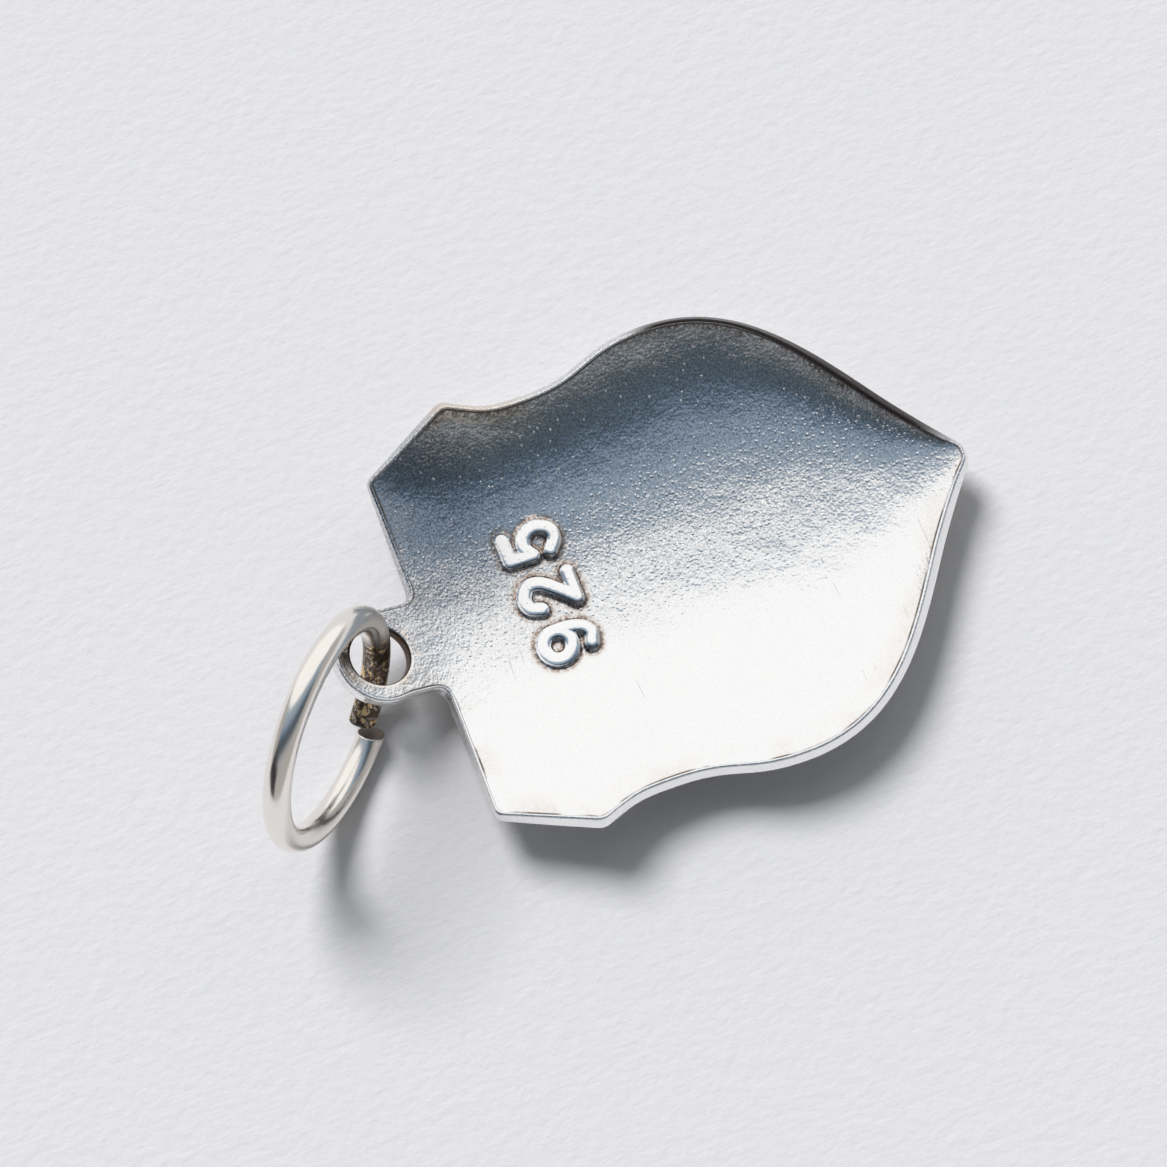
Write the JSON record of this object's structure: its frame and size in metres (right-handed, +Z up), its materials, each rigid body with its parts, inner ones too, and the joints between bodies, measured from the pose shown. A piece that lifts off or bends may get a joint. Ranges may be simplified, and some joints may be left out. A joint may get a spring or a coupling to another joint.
{
  "type": "pendant",
  "caption": "Small dished metal shield with a pierced eye at its top edge and a round-wire jump ring hanging in the eye.",
  "frame": {"origin": "on the ground under the middle of the whole piece, as it lies on its domed front", "axes": "+Z up through the hollow back, +Y from the shield to its eye, +X to the right when the number reads upright"},
  "size_m": [0.0134, 0.0222, 0.0069],
  "materials": {
    "silver_sheet": "satin silver with a fine pebbled skin, slightly tarnished at the rim",
    "silver_wire": "polished silver"
  },
  "bodies": {
    "shield": {"shield_body": "silver_sheet"},
    "ring": {"jump_ring": "silver_wire"}
  },
  "joints": [
    {"name": "ring_swivel", "type": "hinge", "parent": "shield", "child": "ring", "pos_m": [0.00023, 0.00647, 0.00194], "axis": [0, 0, 1], "range_deg": [-140, 45]}
  ]
}
